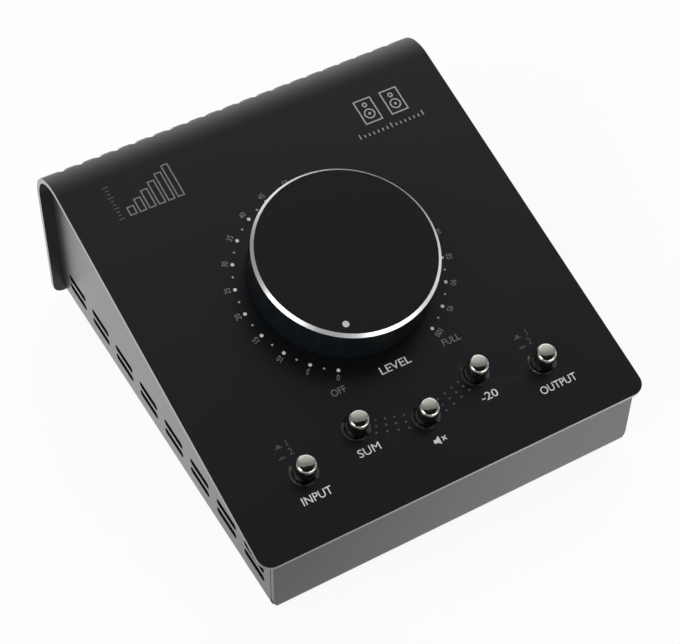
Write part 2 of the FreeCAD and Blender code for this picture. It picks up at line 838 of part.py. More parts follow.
def make_shaft():
    # A steel shaft with the contact disc at its foot and a flat at its top.
    disc = f"{BOARD_TOP} + pot_wall + rotor_lift"
    points = [
        ("0", disc),
        ("rotor_radius", disc),
        ("rotor_radius", f"{disc} + rotor_sheet"),
        ("shaft_radius", f"{disc} + rotor_sheet"),
        ("shaft_radius", CROWN_LEVEL),
        ("0", CROWN_LEVEL),
    ]
    shaft = node(turned("pot_shaft", KNOB_SEAT, points))
    flat = new_sketch(shaft, "XY_Plane", CROWN_LEVEL)
    far = "2 * shaft_radius"
    rectangle(flat, f"0 - {far}", "shaft_flat", far, far)
    pocket(shaft, flat, f"{CROWN_LEVEL} - {HUB_LEVEL}")


def make_knob():
    points = [
        ("0", "knob_height"),
        ("knob_radius - knob_cut_width", "knob_height"),
        ("knob_radius", "knob_height - knob_cut_height"),
        ("knob_radius", "knob_gap"),
        ("knob_radius - knob_wall", "knob_gap"),
        ("knob_radius - knob_wall", CROWN_LEVEL),
        ("boss_radius", CROWN_LEVEL),
        ("boss_radius", HUB_LEVEL),
        ("hub_radius", HUB_LEVEL),
        ("hub_radius", CROWN_LEVEL),
        ("0", CROWN_LEVEL),
    ]
    shell = node(turned("knob_shell", KNOB_SEAT, points))
    dot = new_sketch(shell, "XY_Plane", "knob_height")
    circle(dot, *knob_spot("index_orbit", "index_angle"), "index_radius")
    pocket(shell, dot, "index_depth")
    hub = new_body("knob_hub", KNOB_SEAT)
    ring = new_sketch(hub, "XY_Plane", HUB_LEVEL)
    circle(ring, "0", "0", "hub_radius - grip_slack")
    pad(hub, ring, f"{CROWN_LEVEL} - {HUB_LEVEL}")
    bore = new_sketch(hub, "XY_Plane", HUB_LEVEL)
    radius = "(shaft_radius + grip_slack)"
    flat = "(shaft_flat + grip_slack)"
    reach = f"sqrt({radius} * {radius} - {flat} * {flat})"
    below = f"0 - {radius}"
    outline(bore, [(f"0 - {reach}", flat), ("0", below), (reach, flat)], {0: ("0", "0"), 1: ("0", "0")})
    pocket(hub, bore, f"{CROWN_LEVEL} - {HUB_LEVEL}", reverse=True)
    node(hub)
    make_index()


def make_index():
    # A pin with a hollowed face, let into the knob's top at the place that reads the dial.
    x, y = knob_spot("index_orbit", "index_angle")
    seat = panel_seat(x, f"knob_station + {y}", "knob_height")
    hollow = "((index_radius * index_radius + index_dish * index_dish) / (2 * index_dish))"
    points = [
        ("0", "0 - index_depth"),
        ("index_radius", "0 - index_depth"),
        ("index_radius", "0"),
        ("0", "0 - index_dish"),
    ]
    node(turned("knob_index", seat, points, {2: ("0", f"{hollow} - index_dish")}))


# ---- the rear sockets ----------------------------------------------------------------------------

INNER_FACE = "(0 - cover_sheet)"
SOCKET_END = "(0 - cover_sheet - socket_depth)"


def make_jacks():
    half = "jack_side / 2"
    nut_face = "jack_washer_sheet"
    for name, (x, height) in JACKS.items():
        seat = rear_seat(x, height)
        body = node(block(name, seat, f"0 - {half}", f"0 - {half}", half, half, SOCKET_END, INNER_FACE))
        nose = new_sketch(body, "XY_Plane", INNER_FACE)
        circle(nose, "0", "0", "jack_nose_radius")
        pad(body, nose, "cover_sheet + jack_nose")
        bore = new_sketch(body, "XY_Plane", "jack_nose")
        circle(bore, "0", "0", "jack_bore")
        pocket(body, bore, "jack_nose + cover_sheet + socket_depth - jack_end")
    inner = "jack_nose_radius + thread_slack"
    rings = [(inner, "0"), ("jack_washer_radius", "0"),
             ("jack_washer_radius", "jack_washer_sheet"), (inner, "jack_washer_sheet")]
    washer = turned("jack_washer_form", case_seat(), rings)
    nut = hex_nut("jack_nut_form", case_seat(), nut_face, "jack_nut_across", "jack_nut_height", inner)
    seats = [rear_seat(x, height) for x, height in JACKS.values()]
    copies("jack_washers", washer, seats)
    copies("jack_nuts", nut, seats)


def xlr_shell(name, x):
    # Plate behind the panel, barrel through it and a squared housing back to the rear board.
    seat = rear_seat(x, "xlr_level")
    body = node(new_body(name, seat))
    plate = new_sketch(body, "XY_Plane", INNER_FACE)
    rectangle(plate, "0 - xlr_width / 2", "0 - xlr_tall / 2", "xlr_width / 2", "xlr_tall / 2")
    flange = pad(body, plate, "xlr_plate", reverse=True)
    corners = [(f"{across} * xlr_width / 2", f"{up} * xlr_tall / 2", f"{INNER_FACE} - xlr_plate / 2")
               for across, up in CORNERS]
    round_off(body, flange, corners, "xlr_plate_round")
    barrel = new_sketch(body, "XY_Plane", SOCKET_END)
    circle(barrel, "0", "0", "xlr_barrel_radius")
    pad(body, barrel, "socket_depth + cover_sheet + xlr_rim")
    holes = new_sketch(body, "XY_Plane", INNER_FACE)
    for side in (-1, 1):
        circle(holes, f"{side} * xlr_screw_across / 2", f"{side} * xlr_screw_up / 2",
               "screw_radius + thread_slack")
    pocket(body, holes, "2 * xlr_plate")
    return body


PIN_ANGLES = (45, 135, 270)


def pin_spots():
    # Two contacts side by side above a third, seen from behind the case.
    return [knob_spot("pin_orbit", f"(0 - {angle})") for angle in PIN_ANGLES]


def make_xlr_outputs():
    bottom = "(xlr_rim - cup_depth)"
    for name, x in XLR_OUTPUTS.items():
        body = xlr_shell(name, x)
        cup = new_sketch(body, "XY_Plane", "xlr_rim")
        circle(cup, "0", "0", "cup_radius")
        pocket(body, cup, "cup_depth")
        seats = new_sketch(body, "XY_Plane", bottom)
        for spot in pin_spots():
            circle(seats, *spot, "pin_radius")
        pocket(body, seats, "pin_seat")
    tip = f"{bottom} + pin_length"
    points = [
        ("0", f"{bottom} - pin_seat"),
        ("pin_radius", f"{bottom} - pin_seat"),
        ("pin_radius", f"{tip} - pin_radius"),
        ("0", tip),
    ]
    pin = turned("pin_form", case_seat(), points, {2: ("0", f"{tip} - pin_radius")})
    spots = [(x, spot) for x in XLR_OUTPUTS.values() for spot in pin_spots()]
    copies("output_pins", pin, [rear_seat(f"{x} + {px}", f"xlr_level - ({py})") for x, (px, py) in spots])


def make_xlr_inputs():
    # A plug's shell slides in round the insert; its pins go into the insert's three holes.
    for name, x in XLR_INPUTS.items():
        body = xlr_shell(name, x)
        bore = new_sketch(body, "XY_Plane", "xlr_rim")
        circle(bore, "0", "0", "groove_radius")
        pocket(body, bore, "cup_depth")
        insert = node(new_body(name.replace("xlr", "insert"), rear_seat(x, "xlr_level")))
        disc = new_sketch(insert, "XY_Plane", "xlr_rim - cup_depth")
        circle(disc, "0", "0", "insert_radius")
        pad(insert, disc, "cup_depth")
        contacts = new_sketch(insert, "XY_Plane", "xlr_rim")
        for px, py in pin_spots():
            circle(contacts, f"0 - ({px})", py, "contact_radius")
        pocket(insert, contacts, "contact_depth")


def make_connector_screws():
    screw = screw_form("connector_screw_form", "cover_sheet + xlr_plate")
    copies("connector_screws", screw, [rear_seat(x, height) for x, height in xlr_screw_spots()])


# ---- the rear board and the ribbon ---------------------------------------------------------------

def make_rear_board():
    body = node(new_body("rear_board", rear_seat()))
    half = "(cover_width / 2 - rear_board_inset)"
    sketch = new_sketch(body, "XY_Plane", SOCKET_END)
    rectangle(sketch, f"0 - {half}", "0 - rear_board_high", half, "0 - rear_board_low")
    plate = pad(body, sketch, "board_sheet", reverse=True)
    spots = [(f"{across} * {half}", f"0 - {edge}", f"{SOCKET_END} - board_sheet / 2")
             for across in (-1, 1) for edge in ("rear_board_low", "rear_board_high")]
    round_off(body, plate, spots, "board_round")


def make_ribbon():
    half = "header_side / 2"
    width = "header_width / 2"
    header = block("header_form", case_seat(), f"0 - {width}", f"0 - {half}", width, half,
                   "0", "header_height")
    below = f"({BOARD_TOP} - board_sheet)"
    station = f"({BOARD_REAR} - ribbon_margin)"
    board_face = f"({SOCKET_END} - board_sheet)"
    x, y, z, _ = rear_seat("0", "ribbon_level", board_face)
    seats = [panel_seat("0", station, below, "180"), (x, y, z, "90")]
    copies("ribbon_headers", header, seats)
    # The ribbon leaves the upper header square to the board, bends once and runs level to the lower.
    top = f"({below} - header_height)"
    start_y = f"({station} * {COS} - {top} * {SIN})"
    start_z = f"(front_height + {station} * {SIN} + {top} * {COS})"
    turn_y = f"({start_y} + ({start_z} - ribbon_level) * {TAN})"
    middle_y = f"({turn_y} + ribbon_bend * tan((90 - slope_angle) / 2 * 1deg))"
    middle_z = "(ribbon_level + ribbon_bend)"
    end_y = f"(cover_depth + {board_face} - header_height)"
    face = "ribbon_sheet / 2"
    near = f"(ribbon_bend - {face})"
    far = f"(ribbon_bend + {face})"
    points = [
        (f"{start_y} + {face} * {COS}", f"{start_z} + {face} * {SIN}"),
        (f"{middle_y} - {near} * {COS}", f"{middle_z} - {near} * {SIN}"),
        (middle_y, f"{middle_z} - {near}"),
        (end_y, f"ribbon_level + {face}"),
        (end_y, f"ribbon_level - {face}"),
        (middle_y, f"{middle_z} - {far}"),
        (f"{middle_y} - {far} * {COS}", f"{middle_z} - {far} * {SIN}"),
        (f"{start_y} - {face} * {COS}", f"{start_z} - {face} * {SIN}"),
    ]
    body = node(new_body("ribbon_cable", case_seat()))
    sketch = new_sketch(body, "YZ_Plane")
    middle = (middle_y, middle_z)
    outline(sketch, points, {1: middle, 5: middle})
    pad(body, sketch, "ribbon_width", both_ways=True)


def check(target):
    state = set(target.State)
    if state & {"Invalid", "Error"}:
        raise RuntimeError(f"{target.Label} failed: {state}")


def export():
    doc.recompute()
    for target in doc.Objects:
        check(target)
    os.makedirs("parts", exist_ok=True)
    for target in nodes:
        shape = target.Shape
        if shape.isNull() or not shape.isValid():
            raise RuntimeError(f"{target.Label} has no valid shape")
    for target in nodes:
        target.Shape.exportStep(f"parts/{target.Label}.step")
        print(f"{target.Label}: {len(target.Shape.Solids)} solid(s), {target.Shape.Volume:.1f} mm3")


fill_sheet()
make_cover()
make_tray()
make_feet()
make_front_hooks()
make_tray_fasteners()
make_control_board()
make_standoffs()
make_buttons()
make_potentiometer()
make_shaft()
make_knob()
make_jacks()
make_xlr_outputs()
make_xlr_inputs()
make_connector_screws()
make_rear_board()
make_ribbon()
export()
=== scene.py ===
import json
import math
import bpy
from mathutils import Euler, Matrix, Vector


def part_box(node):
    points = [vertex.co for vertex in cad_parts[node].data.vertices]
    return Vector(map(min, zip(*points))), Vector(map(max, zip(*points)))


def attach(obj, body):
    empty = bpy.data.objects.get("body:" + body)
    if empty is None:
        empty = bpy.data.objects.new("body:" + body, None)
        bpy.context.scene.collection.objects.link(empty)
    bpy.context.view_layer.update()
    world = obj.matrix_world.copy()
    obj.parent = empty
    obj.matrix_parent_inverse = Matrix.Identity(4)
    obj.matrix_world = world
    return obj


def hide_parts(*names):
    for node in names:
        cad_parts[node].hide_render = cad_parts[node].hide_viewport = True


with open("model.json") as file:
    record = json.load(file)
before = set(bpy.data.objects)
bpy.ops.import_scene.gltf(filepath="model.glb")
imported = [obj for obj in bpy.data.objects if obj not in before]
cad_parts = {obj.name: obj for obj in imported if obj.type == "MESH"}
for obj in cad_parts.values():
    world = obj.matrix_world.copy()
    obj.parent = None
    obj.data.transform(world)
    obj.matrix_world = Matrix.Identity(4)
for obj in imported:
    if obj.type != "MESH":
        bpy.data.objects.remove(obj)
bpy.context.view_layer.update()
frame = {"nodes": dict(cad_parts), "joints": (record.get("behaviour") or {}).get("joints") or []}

mm = 0.001
nodes = frame["nodes"]
joints = {joint["name"]: joint for joint in frame["joints"]}
print("frame loaded:", len(nodes), "nodes")

# the control panel's own frame: x right, y up the slope, z out of the panel, about the knob's centre
volumeTurn = joints["volume_turn"]
knobCentre = Vector(volumeTurn["pos_m"])
panelNormal = -Vector(volumeTurn["axis"]).normalized()
slope = math.atan2(-panelNormal.y, panelNormal.z)
panelFrame = Matrix.Translation(knobCentre) @ Matrix.Rotation(slope, 4, "X")
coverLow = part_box("top_cover")[0]
knobStation = (knobCentre.y - coverLow.y) / math.cos(slope) / mm   # from the front edge, up the slope
sweepAngle = math.radians(volumeTurn["range_deg"][1])

weld = 0.001 * mm             # points nearer than this become one point
near = 0.02 * mm              # slack where faces and edges are picked by their place
sheetFlat = 0.6               # triangles that meet at less than this angle, in degrees, are one face
edgeBreak = {                 # the small round on a sheet's edges; angles in degrees
    "smooth": 30,             # an edge flatter than this is shaded smooth
    "sharp": 35,              # an edge sharper than this gets the round
    "smoothAfter": 50,
    "segments": 2,
}


def panelBox(nodeName):
    # a solid's low and high corners in the panel's frame, in millimetres
    inward = panelFrame.inverted()
    spots = [inward @ vertex.co / mm for vertex in nodes[nodeName].data.vertices]
    low = Vector([min(spot[axis] for spot in spots) for axis in range(3)])
    high = Vector([max(spot[axis] for spot in spots) for axis in range(3)])
    return low, high


def selectOnly(piece):
    bpy.ops.object.select_all(action="DESELECT")
    piece.select_set(True)
    bpy.context.view_layer.objects.active = piece


def newest(name):
    piece = bpy.context.object
    piece.name = name
    piece.data.name = name
    return piece


def applyPlace(piece, matrix):
    # moves the piece to its place and leaves its object at the origin
    selectOnly(piece)
    piece.matrix_world = matrix @ piece.matrix_world
    bpy.ops.object.transform_apply(location=True, rotation=True, scale=True)


def applyModifier(piece, kind, **settings):
    selectOnly(piece)
    modifier = piece.modifiers.new(kind.title(), kind)
    for key, setting in settings.items():
        setattr(modifier, key, setting)
    bpy.ops.object.modifier_apply(modifier=modifier.name)


def smoothByAngle(piece, degrees):
    selectOnly(piece)
    bpy.ops.object.shade_smooth_by_angle(angle=math.radians(degrees))


def joinPieces(name, pieces):
    selectOnly(pieces[0])
    for piece in pieces:
        piece.select_set(True)
    bpy.ops.object.join()
    return newest(name)


def cutWith(piece, cutter):
    applyModifier(piece, "BOOLEAN", operation="DIFFERENCE", object=cutter, solver="EXACT")
    bpy.data.objects.remove(cutter, do_unlink=True)


def finishPiece(piece, body, material, replaced=()):
    piece.data.materials.clear()
    piece.data.materials.append(material)
    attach(piece, body)
    if replaced:
        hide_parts(*replaced)


def turnedPiece(name, rings, segments):
    # a turned form: a ring at the first radius and level, extruded from ring to ring, and left open there
    radius, level = rings[0]
    bpy.ops.object.select_all(action="DESELECT")
    bpy.ops.mesh.primitive_circle_add(vertices=segments, radius=radius * mm, location=(0, 0, level * mm))
    piece = newest(name)
    applyPlace(piece, Matrix.Identity(4))
    bpy.ops.object.mode_set(mode="EDIT")
    bpy.ops.mesh.select_all(action="SELECT")
    for nextRadius, nextLevel in rings[1:]:
        bpy.ops.mesh.extrude_edges_move(TRANSFORM_OT_translate={"value": (0, 0, (nextLevel - level) * mm)})
        if nextRadius == 0:
            bpy.ops.mesh.merge(type="CENTER")
            break
        scale = nextRadius / radius
        bpy.ops.transform.resize(value=(scale, scale, 1), center_override=(0, 0, nextLevel * mm))
        radius, level = nextRadius, nextLevel
    bpy.ops.mesh.select_all(action="SELECT")
    bpy.ops.mesh.remove_doubles(threshold=weld)
    bpy.ops.mesh.normals_make_consistent(inside=False)
    bpy.ops.object.mode_set(mode="OBJECT")
    return piece


def mergedCopy(nodeName, cutters=()):
    # a copy of a solid with its loose triangles merged into clean faces
    piece = bpy.data.objects.new(f"{nodeName}_skin", nodes[nodeName].data.copy())
    bpy.context.scene.collection.objects.link(piece)
    selectOnly(piece)
    bpy.ops.object.mode_set(mode="EDIT")
    bpy.ops.mesh.select_all(action="SELECT")
    bpy.ops.mesh.remove_doubles(threshold=weld)
    bpy.ops.object.mode_set(mode="OBJECT")
    for cutter in cutters:
        cutWith(piece, cutter)
    selectOnly(piece)
    bpy.ops.object.mode_set(mode="EDIT")
    bpy.ops.mesh.select_all(action="SELECT")
    bpy.ops.mesh.dissolve_limited(angle_limit=math.radians(sheetFlat))
    bpy.ops.object.mode_set(mode="OBJECT")
    return piece


def bevelEdges(piece, wanted, width, segments):
    # rounds the edges whose two ends both pass the test
    selectOnly(piece)
    bpy.ops.object.mode_set(mode="EDIT")
    bpy.ops.mesh.select_mode(type="EDGE")
    bpy.ops.mesh.select_all(action="DESELECT")
    bpy.ops.object.mode_set(mode="OBJECT")
    spots = [vertex.co for vertex in piece.data.vertices]
    for edge in piece.data.edges:
        edge.select = all(wanted(spots[end]) for end in edge.vertices)
    bpy.ops.object.mode_set(mode="EDIT")
    bpy.ops.mesh.bevel(offset=width * mm, segments=segments, affect="EDGES", clamp_overlap=True)
    bpy.ops.mesh.select_mode(type="VERT")
    bpy.ops.object.mode_set(mode="OBJECT")


def breakEdges(piece, width):
    # every sharp edge gets a small round, and flat faces keep their flat shading
    smoothByAngle(piece, edgeBreak["smooth"])
    applyModifier(piece, "BEVEL", width=width * mm, segments=edgeBreak["segments"], limit_method="ANGLE",
                  angle_limit=math.radians(edgeBreak["sharp"]), use_clamp_overlap=True)
    smoothByAngle(piece, edgeBreak["smoothAfter"])
    applyModifier(piece, "WEIGHTED_NORMAL", mode="FACE_AREA", keep_sharp=True)


def newMaterial(name):
    material = bpy.data.materials.new(name)
    material.use_nodes = True
    tree = material.node_tree
    shader = tree.nodes["Principled BSDF"]
    return material, tree, shader


def objectNoise(tree, scale, detail):
    coordinates = tree.nodes.new("ShaderNodeTexCoord")
    noise = tree.nodes.new("ShaderNodeTexNoise")
    noise.inputs["Scale"].default_value = scale
    noise.inputs["Detail"].default_value = detail
    tree.links.new(coordinates.outputs["Object"], noise.inputs["Vector"])
    return noise.outputs["Fac"]


def rampBetween(tree, source, low, high, start, end):
    # low up to the start, high from the end on, and an even slope between
    ramp = tree.nodes.new("ShaderNodeMapRange")
    ramp.inputs["From Min"].default_value = start
    ramp.inputs["From Max"].default_value = end
    ramp.inputs["To Min"].default_value = low
    ramp.inputs["To Max"].default_value = high
    tree.links.new(source, ramp.inputs["Value"])
    return ramp.outputs["Result"]


def mixedColour(tree, factor, first, second):
    mix = tree.nodes.new("ShaderNodeMix")
    mix.data_type = "RGBA"
    mix.inputs["A"].default_value = (*first, 1)
    mix.inputs["B"].default_value = (*second, 1)
    tree.links.new(factor, mix.inputs["Factor"])
    return mix.outputs["Result"]


def bumpFrom(tree, shader, height, strength, distance):
    bump = tree.nodes.new("ShaderNodeBump")
    bump.inputs["Strength"].default_value = strength
    bump.inputs["Distance"].default_value = distance * mm
    tree.links.new(height, bump.inputs["Height"])
    tree.links.new(bump.outputs["Normal"], shader.inputs["Normal"])


white = (1, 1, 1, 1)
noiseLow, noiseHigh = 0.3, 0.7            # most of a noise pattern lies between these
coatLook = {
    "grain": 2600,            # fine orange peel of the powder, per metre
    "drift": 18,              # slow change of tone across a sheet
    "detail": 2,
    "spread": 0.04,           # how far the roughness wanders either way
    "bumpHeight": 0.02,
    "tint": (0.9, 0.96, 1.0, 1),          # of its reflections, slightly cool
}
anodisedLook = {
    "grain": 1800,
    "detail": 3,
    "spread": 0.05,
    "bumpHeight": 0.01,
    "bump": 0.08,
    "specular": 0.2,
}
metalLook = {
    "grain": 900,
    "cutGrain": 3000,         # finer on a fresh cut
    "detail": 4,
    "spread": 0.05,
    "bumpHeight": 0.01,
}
plasticLook = {
    "grain": 1200,
    "detail": 3,
    "spread": 0.06,
    "bumpHeight": 0.02,
}


def grained(name, look, dark, light, roughness, bump):
    # a finish whose gloss and bump follow a fine grain, and whose tone follows it or drifts slowly
    material, tree, shader = newMaterial(name)
    grain = objectNoise(tree, look["grain"], look["detail"])
    tone = objectNoise(tree, look["drift"], look["detail"]) if "drift" in look else grain
    tree.links.new(mixedColour(tree, tone, dark, light), shader.inputs["Base Color"])
    spread = look["spread"]
    gloss = rampBetween(tree, grain, roughness - spread, roughness + spread, noiseLow, noiseHigh)
    tree.links.new(gloss, shader.inputs["Roughness"])
    bumpFrom(tree, shader, grain, bump, look["bumpHeight"])
    return material, shader


def powderCoat(name, dark, light, roughness, specular, bump, coat=0.0, coatRoughness=0.3):
    material, shader = grained(name, coatLook, dark, light, roughness, bump)
    shader.inputs["Specular IOR Level"].default_value = specular
    shader.inputs["Specular Tint"].default_value = coatLook["tint"]
    shader.inputs["Coat Weight"].default_value = coat
    shader.inputs["Coat Roughness"].default_value = coatRoughness
    return material


def anodised(name, dark, light, roughness):
    material, shader = grained(name, anodisedLook, dark, light, roughness, anodisedLook["bump"])
    shader.inputs["Specular IOR Level"].default_value = anodisedLook["specular"]
    return material


def metal(name, dark, light, roughness, bump=0.04, cut=False):
    look = dict(metalLook, grain=metalLook["cutGrain"]) if cut else metalLook
    material, shader = grained(name, look, dark, light, roughness, bump)
    shader.inputs["Metallic"].default_value = 1
    return material


def plastic(name, dark, light, roughness, bump=0.1):
    return grained(name, plasticLook, dark, light, roughness, bump)[0]


looks = {                     # darkest and lightest tone, then the roughness
    "panelCoat": powderCoat("panelCoat", (0.0042, 0.0049, 0.0056), (0.0054, 0.0061, 0.0068), 0.36,
                            specular=0.34, bump=0.1),
    "trayCoat": powderCoat("trayCoat", (0.012, 0.013, 0.013), (0.017, 0.018, 0.018), 0.36,
                           specular=0.85, bump=0.3, coat=0.66, coatRoughness=0.32),
    # a lighter, glossier copy of the cover's coat: painted highlight on its cut edges
    "edgeHighlightCoat": powderCoat("edgeHighlightCoat", (0.03, 0.031, 0.031), (0.04, 0.041, 0.041), 0.3,
                           specular=1.0, bump=0.1, coat=1.0, coatRoughness=0.25),
    "knobBlack": anodised("knobBlack", (0.0055, 0.0074, 0.0092), (0.007, 0.009, 0.0112), 0.42),
    "brightCut": metal("brightCut", (0.78, 0.79, 0.8), (0.88, 0.88, 0.89), 0.32, cut=True),
    "blackNickel": metal("blackNickel", (0.54, 0.53, 0.485), (0.59, 0.575, 0.53), 0.07, bump=0.004),
    "zinc": metal("zinc", (0.5, 0.51, 0.53), (0.68, 0.69, 0.7), 0.32),
    "nickel": metal("nickel", (0.58, 0.56, 0.53), (0.72, 0.7, 0.66), 0.22),
    "silver": metal("silver", (0.74, 0.73, 0.7), (0.86, 0.85, 0.82), 0.3),
    "indexSilver": plastic("indexSilver", (0.66, 0.67, 0.68), (0.78, 0.79, 0.8), 0.3),
    "blackScrew": metal("blackScrew", (0.03, 0.03, 0.032), (0.06, 0.06, 0.064), 0.35),
    "nylon": plastic("nylon", (0.014, 0.014, 0.015), (0.022, 0.022, 0.023), 0.48),
    "socketBlack": plastic("socketBlack", (0.012, 0.012, 0.013), (0.02, 0.02, 0.021), 0.36),
    "rubber": plastic("rubber", (0.01, 0.01, 0.01), (0.02, 0.02, 0.02), 0.75, bump=0.3),
    "boardGreen": plastic("boardGreen", (0.01, 0.085, 0.035), (0.016, 0.12, 0.05), 0.32),
    "ribbonGrey": plastic("ribbonGrey", (0.28, 0.29, 0.3), (0.36, 0.37, 0.38), 0.5),
    "inkWhite": plastic("inkWhite", (0.8, 0.81, 0.81), (0.87, 0.88, 0.88), 0.55),
    "inkPale": plastic("inkPale", (0.42, 0.43, 0.43), (0.5, 0.51, 0.51), 0.55),
    "inkGrey": plastic("inkGrey", (0.2, 0.205, 0.21), (0.25, 0.255, 0.26), 0.6),
    "inkDim": plastic("inkDim", (0.085, 0.09, 0.095), (0.11, 0.115, 0.12), 0.6),
}
print("materials ready:", len(looks))


case = {
    "sheetBreak": 0.35,
    "edgeTilt": 0.35,         # faces leaning further than this from the sheet's face are cut edges
    "frontReach": 0.9,        # depth of the cover's front edge
    "trayBreak": 0.15,
    "frontRound": 0.8,        # rim of the tray's front wall
    "frontSegments": 4,
    "cornerRound": 5.7,       # its two lower corners
    "cornerSegments": 64,
    "cornerDepth": 1.9,       # from the front wall back to the seam in the side
    "traySheet": 1.2,
    "slotTilt": 0.5,          # a face of the side whose normal leans less than this to x is a slot's wall
    "slotsAbove": 4.0,        # all slots lie higher than this over the tray's foot
    "footSmooth": 30,
}


def dressCover():
    cover = mergedCopy("top_cover")
    breakEdges(cover, case["sheetBreak"])
    finishPiece(cover, "case", looks["panelCoat"], ["top_cover"])
    cover.data.materials.append(looks["edgeHighlightCoat"])
    for face in cover.data.polygons:      # painted highlight: a lighter, glossier copy of the coat on the sheet's cut edges, so they read as catching more light
        sideways = abs(face.normal.x) > case["edgeTilt"]
        atFront = face.center.y < coverLow.y + case["frontReach"] * mm
        tilted = face.normal.dot(panelNormal) < 1 - case["edgeTilt"]
        if sideways or (atFront and tilted):
            face.material_index = 1


def cornerCutter(side, low, high):
    # what lies outside the round of a lower front corner
    radius, depth = case["cornerRound"] * mm, case["cornerDepth"] * mm
    reach = 2 * depth
    bpy.ops.object.select_all(action="DESELECT")
    bpy.ops.mesh.primitive_cube_add(size=1, scale=(2 * radius, reach, 2 * radius),
                                    location=(side * high.x, low.y + depth - reach / 2, low.z))
    block = newest("corner_cutter")
    bpy.ops.object.transform_apply(location=True, rotation=True, scale=True)
    bpy.ops.object.select_all(action="DESELECT")
    bpy.ops.mesh.primitive_cylinder_add(vertices=case["cornerSegments"], radius=radius, depth=2 * reach,
                                        location=(side * (high.x - radius), low.y, low.z + radius),
                                        rotation=(math.pi / 2, 0, 0))
    cutWith(block, newest("corner_round"))
    return block


def dressTray():
    low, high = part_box("base_tray")
    tray = mergedCopy("base_tray", [cornerCutter(side, low, high) for side in (-1, 1)])
    inner = high.x - case["cornerRound"] * mm - near
    bevelEdges(tray, lambda spot: spot.y < low.y + near and abs(spot.x) > inner,
               case["frontRound"], case["frontSegments"])
    breakEdges(tray, case["trayBreak"])
    finishPiece(tray, "case", looks["trayCoat"], ["base_tray"])
    tray.data.materials.append(looks["panelCoat"])
    for face in tray.data.polygons:       # painted shade: the walls of the side slots get the darker panel coat, as less light reaches them
        within = high.x - case["traySheet"] * mm < abs(face.center.x) < high.x - near
        across = abs(face.normal.x) < case["slotTilt"]
        if within and across and face.center.z > low.z + case["slotsAbove"] * mm:
            face.material_index = 1


def dressFeet():
    for nodeName in [name for name in nodes if name.startswith("foot_")]:
        foot = mergedCopy(nodeName)
        smoothByAngle(foot, case["footSmooth"])
        finishPiece(foot, "case", looks["rubber"], [nodeName])


dressCover()
dressTray()
dressFeet()
print("case dressed")


knobLow, knobHigh = panelBox("knob_shell")
indexLow, indexHigh = panelBox("knob_index")
knob = {
    "radius": knobHigh.x,
    "top": knobHigh.z,
    "bottom": knobLow.z,
    "wall": 3.0,
    "crown": 3.0,
    "centre": 8.0,            # radius of the innermost ring of the crown's two faces
    "cut": 1.2,               # the bright chamfer
    "skirtBreak": 0.3,
    "segments": 256,
    "smooth": 20,
}
indexDot = {
    "radius": (indexHigh.x - indexLow.x) / 2,
    "middle": (indexLow + indexHigh) / 2 * mm,
    "pocket": 0.5,            # depth of its seat in the knob's top
    "pocketSegments": 64,
    "foot": 0.8,              # the dot's levels, each this far under the knob's top
    "side": 0.06,
    "rim": 0.04,
    "face": 0.94,             # share of the radius that is hollowed
    "hollow": 0.12,
    "steps": 8,
    "segments": 48,
    "smooth": 40,
}


def dressKnob():
    radius, top, bottom = knob["radius"], knob["top"], knob["bottom"]
    inner = radius - knob["wall"]
    rings = [
        (knob["centre"], top - knob["crown"]),
        (inner, top - knob["crown"]),
        (inner, bottom + knob["skirtBreak"]),
        (inner + knob["skirtBreak"], bottom),
        (radius - knob["skirtBreak"], bottom),
        (radius, bottom + knob["skirtBreak"]),
        (radius, top - knob["cut"]),
        (radius - knob["cut"], top),
        (knob["centre"], top),
        (0, top),
    ]
    shell = turnedPiece("knob_body", rings, knob["segments"])
    middle, depth = indexDot["middle"], 2 * indexDot["pocket"] * mm
    bpy.ops.object.select_all(action="DESELECT")
    bpy.ops.mesh.primitive_cylinder_add(vertices=indexDot["pocketSegments"], radius=indexDot["radius"] * mm,
                                        depth=depth, location=(middle.x, middle.y, top * mm))
    cutWith(shell, newest("index_cutter"))
    applyPlace(shell, panelFrame)
    smoothByAngle(shell, knob["smooth"])
    finishPiece(shell, "volume_knob", looks["knobBlack"], ["knob_shell"])
    shell.data.materials.append(looks["brightCut"])
    inward = panelFrame.inverted()
    for face in shell.data.polygons:      # the chamfer alone is cut bright
        spot = inward @ face.center
        onCut = (top - knob["cut"]) * mm < spot.z < top * mm - near
        if onCut and math.hypot(spot.x, spot.y) > (radius - knob["cut"]) * mm:
            face.material_index = 1


def dressIndex():
    radius, top, steps = indexDot["radius"], knob["top"], indexDot["steps"]
    rim = top - indexDot["rim"]
    rings = [(radius, top - indexDot["foot"]), (radius, top - indexDot["side"])]
    for step in range(steps + 1):         # the hollowed face, from its rim to its middle
        share = indexDot["face"] * (1 - step / steps)
        sunk = indexDot["hollow"] * (1 - share ** 2) if step else 0
        rings.append((radius * share, rim - sunk))
    dot = turnedPiece("index_dot", rings, indexDot["segments"])
    middle = indexDot["middle"]
    applyPlace(dot, panelFrame @ Matrix.Translation((middle.x, middle.y, 0)))
    smoothByAngle(dot, indexDot["smooth"])
    finishPiece(dot, "volume_knob", looks["indexSilver"], ["knob_index"])


dressKnob()
dressIndex()
print("knob dressed")


button = {
    "sunk": 0.6,              # the shown cap ends this much under the solid one
    "dome": 0.35,
    "edge": 1.7,              # round between the top and the side
    "footBreak": 0.2,
    "steps": 10,
    "segments": 96,
    "smooth": 40,
}
buttonNames = ["source", "mono", "mute", "dim", "monitor"]


